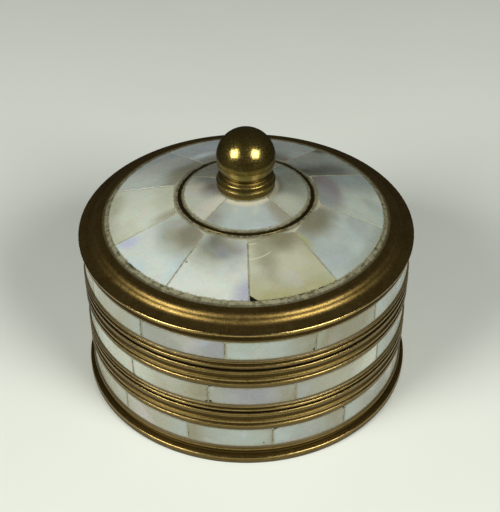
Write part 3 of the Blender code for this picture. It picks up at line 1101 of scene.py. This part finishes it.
# Looks of the lid's tiles: main tint, second tint, patches. See make_pearl.
LID_LOOKS = {
    "lid_outer_tile_01": (srgb(162, 168, 163), srgb(178, 184, 175), (
        (srgb(144, 142, 121), 0.0, 0.05, 1.6, 0.30), (srgb(190, 196, 185), 0.6, 0.70, 0.5, 0.4),
    )),
    "lid_outer_tile_02": (srgb(192, 196, 175), srgb(200, 205, 188), (
        (srgb(168, 169, 144), -0.2, 1.05, 1.3, 0.24), (srgb(184, 186, 158), -0.1, 0.02, 1.3, 0.24),
        (srgb(152, 150, 124), 0.9, 0.10, 0.3, 0.3),
    )),
    "lid_outer_tile_03": (srgb(184, 198, 195), srgb(194, 200, 190), (
        (srgb(148, 149, 131), 0.2, 0.20, 1.2, 0.34), (srgb(124, 122, 104), 0.55, 0.14, 0.5, 0.22),
        (srgb(182, 184, 200), -0.80, 0.80, 0.18, 0.14),
    )),
    "lid_outer_tile_04": (srgb(194, 200, 190), srgb(188, 191, 176), (
        (srgb(128, 128, 112), -0.1, 0.20, 1.2, 0.32), (srgb(112, 112, 100), -0.4, 0.10, 0.45, 0.2),
        (srgb(160, 162, 172), 0.95, 0.88, 0.30, 0.26), (srgb(128, 128, 128), 0.05, 0.26, 0.3, 0.12),
    )),
    "lid_outer_tile_05": (srgb(161, 160, 131), srgb(173, 173, 150), (
        (srgb(154, 152, 112), -0.3, 1.02, 1.2, 0.20), (srgb(122, 118, 94), 0.3, 0.06, 1.1, 0.26),
        (srgb(142, 140, 118), -0.45, 0.36, 0.40, 0.36),
    )),
    "lid_outer_tile_06": (srgb(168, 176, 169), srgb(154, 161, 154), (
        (srgb(119, 117, 96), 0.1, 0.08, 1.2, 0.26), (srgb(152, 154, 112), -0.95, 0.26, 0.14, 0.16),
        (srgb(146, 154, 142), 0.4, 1.00, 1.0, 0.14),
    )),
    "lid_outer_tile_07": (srgb(172, 179, 166), srgb(160, 167, 156), (
        (srgb(144, 152, 147), 0.75, 0.65, 0.5, 0.7), (srgb(122, 120, 109), 0.0, 0.06, 1.5, 0.30),
        (srgb(132, 126, 126), 0.2, 0.22, 0.9, 0.14),
    )),
    "lid_outer_tile_08": (srgb(154, 159, 148), srgb(144, 150, 142), (
        (srgb(112, 115, 108), -0.7, 0.45, 0.7, 0.45), (srgb(92, 92, 78), -0.7, 0.05, 0.9, 0.35),
        (srgb(104, 104, 88), 0.9, 1.00, 0.3, 0.2),
    )),
    "lid_outer_tile_09": (srgb(158, 166, 158), srgb(168, 175, 170), (
        (srgb(120, 116, 100), 0.0, 0.05, 1.5, 0.25),
    )),
    "lid_outer_tile_10": (srgb(172, 182, 180), srgb(178, 185, 182), (
        (srgb(140, 140, 124), 0.0, 0.05, 1.5, 0.25), (srgb(214, 220, 220), 0.6, 0.35, 0.5, 0.10),
    )),
    "lid_inner_tile_01": (srgb(158, 167, 162), srgb(154, 160, 150), (
        (srgb(140, 138, 122), 0.9, 0.60, 0.25, 0.8), (srgb(134, 131, 120), -0.9, 0.90, 0.3, 0.4),
        (srgb(186, 182, 158), 0.0, 0.08, 4.0, 0.09),
    )),
    "lid_inner_tile_02": (srgb(142, 147, 132), srgb(130, 134, 120), (
        (srgb(166, 168, 152), -0.7, 0.55, 0.35, 0.5), (srgb(106, 102, 84), 0.3, 0.0, 0.8, 0.3),
        (srgb(160, 156, 132), -0.5, 0.08, 1.5, 0.08),
    )),
    "lid_inner_tile_03": (srgb(146, 147, 133), srgb(134, 134, 120), (
        (srgb(110, 104, 88), 0.0, 0.0, 1.2, 0.3),
    )),
    "lid_inner_tile_04": (srgb(170, 172, 156), srgb(180, 179, 157), (
        (srgb(120, 116, 102), -0.2, 0.10, 0.6, 0.35), (srgb(132, 134, 126), -0.95, 0.5, 0.4, 0.7),
    )),
}


def banded(letters):
    """The look of a side tile whose tint shifts from end to end."""
    left, middle, right = (TINTS[letter] for letter in letters)
    return (middle, tuple(channel * 0.93 for channel in middle[:3]) + (1.0,), (
        (left, -1.0, 0.5, 0.55, 1.6), (right, 1.0, 0.5, 0.55, 1.6),
    ))


# Tints of the side tiles: white, cream, olive, grey, blue and lilac.
TINTS = {
    "w": srgb(168, 171, 154),
    "c": srgb(148, 146, 126),
    "o": srgb(122, 118, 94),
    "g": srgb(133, 135, 123),
    "b": srgb(143, 150, 141),
    "l": srgb(128, 129, 131),
}
# Each tile of a band in turn, with its tints at the left, in the middle and at the right.
BAND_LOOKS = {
    "base_tile": "ccb obg bgo bgc cgo gbc bwc cgl wbg gco blg wcc",
    "middle_tile": "wco glo gcw bgo cbg wgl gbb cwg lgc bcg gwb cww",
    "lid_band_tile": "ccb ggl bbo ooo bgo cgb gwc bbl wcg cbg glb wwc",
}

band_smears = [(TILE_FACE + 0.05, level, 0.42) for band in BANDS.values() for level in band]
# The smear at the rim's bore is dirt with painted shade, where the lid's cement meets the brass.
aged = make_brass(
    "aged brass", srgb(104, 81, 34), srgb(174, 150, 94), roughness=0.39, lines=1.0, specks=1.0, film=0.04,
    clean_from=RIM_FOOT, smears=band_smears + [(RIM_BORE, crown(RIM_BORE), 0.28), (FOOT, 0.0, 1.0)],
)
polished = make_brass(
    "polished brass", srgb(134, 113, 55), srgb(177, 158, 94), roughness=0.11, lines=0.5, specks=0.5,
    film=0.03, clean_from=COLLAR_TOP, cover=0.45, smears=[(COLLAR, KNOB_FOOT, 0.25)], scratches=0.29,
)
blackened = make_brass(
    "blackened brass", srgb(60, 49, 22), srgb(100, 82, 42), roughness=0.45, lines=0.6, specks=0.9, film=0.1
)
band_filler = make_filler("side filler", srgb(158, 154, 120), srgb(122, 114, 78), depth_in_band)
# The grime lines, where the cement meets the tiles, the rim, the divider ring and the collar, are dirt with
# painted shade in the cracks.
lid_edges = (
    (FIELD + 0.55, 0.95, 0.12, CEMENT), (FIELD + 0.55, 0.95, 0.44, OLD_CEMENT),
    (DIVIDER[1], 0.98, 0.10, DUST), (DIVIDER[0], 0.60, 0.10, DUST),
    (FIELD + 0.08, 0.20, 0.50, CRACK_GRIME_AND_SHADE), (RIM_BORE, 0.38, 0.32, CRACK_GRIME_AND_SHADE), (DIVIDER[1], 0.55, 0.42, CRACK_GRIME_AND_SHADE),
    (DIVIDER[0], 0.32, 0.40, CRACK_GRIME_AND_SHADE), (COLLAR, 0.45, 0.44, CRACK_GRIME_AND_SHADE),
)
lid_filler = make_filler(
    "lid filler", srgb(172, 169, 146), srgb(146, 142, 118), depth_in_crown, lid_edges, FIELD
)

settle(turned("fine_base_tray", base_tray_outline()), "base_tray", "base", aged)
settle(turned("fine_middle_tray", middle_tray_outline()), "middle_tray", "middle", aged)
settle(turned("fine_lid_shell", lid_shell_outline(), closed=True), "lid_shell", "lid", aged)
settle(turned("fine_knob", knob_outline(), KNOB_AROUND), "knob", "lid", polished)
make_nut(polished)
make_band("base_tile", "base", "base_filler", band_filler)
make_band("middle_tile", "middle", "middle_filler", band_filler)
make_band("lid_band_tile", "lid", "lid_band_filler", band_filler)
make_lid_top(lid_filler)
make_divider(blackened)
make_studio()
make_camera()
